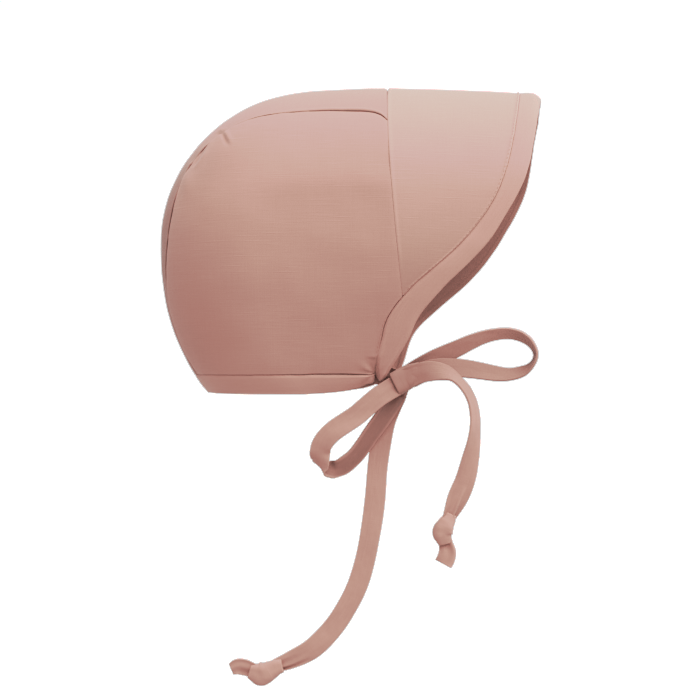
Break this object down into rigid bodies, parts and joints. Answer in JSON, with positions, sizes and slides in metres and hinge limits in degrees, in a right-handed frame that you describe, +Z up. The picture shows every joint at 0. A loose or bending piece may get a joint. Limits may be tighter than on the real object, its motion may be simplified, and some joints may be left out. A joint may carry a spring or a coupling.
{
  "type": "child's sun bonnet",
  "caption": "Soft linen bonnet for a small child: a rounded crown with side panels, a wide brim that curves down to the cheeks, a neck band, and ties knotted in a bow under the chin.",
  "frame": {"origin": "inside the top of the crown, on the middle plane, where the head carries the bonnet", "axes": "+X to the front, towards the brim's free edge; +Y to the wearer's left; +Z up"},
  "size_m": [0.2093, 0.1247, 0.318],
  "materials": {
    "panel_cloth": "matte plain-weave linen",
    "brim_cloth": "matte plain-weave linen, pressed flat",
    "binding_cloth": "matte folded linen, edge-stitched",
    "tie_cloth": "matte folded linen tie"
  },
  "bodies": {
    "root": {"side_panel_right": "panel_cloth", "side_panel_left": "panel_cloth", "crown_band": "panel_cloth", "neck_band": "binding_cloth", "brim": "brim_cloth", "front_band": "binding_cloth", "bow_knot": "tie_cloth", "tie_right": "tie_cloth", "tie_left": "tie_cloth", "bow_loop_back": "tie_cloth", "bow_loop_front": "tie_cloth", "tail_back": "tie_cloth", "tail_front": "tie_cloth", "tail_knot_back": "tie_cloth", "tail_knot_front": "tie_cloth"}
  },
  "joints": []
}
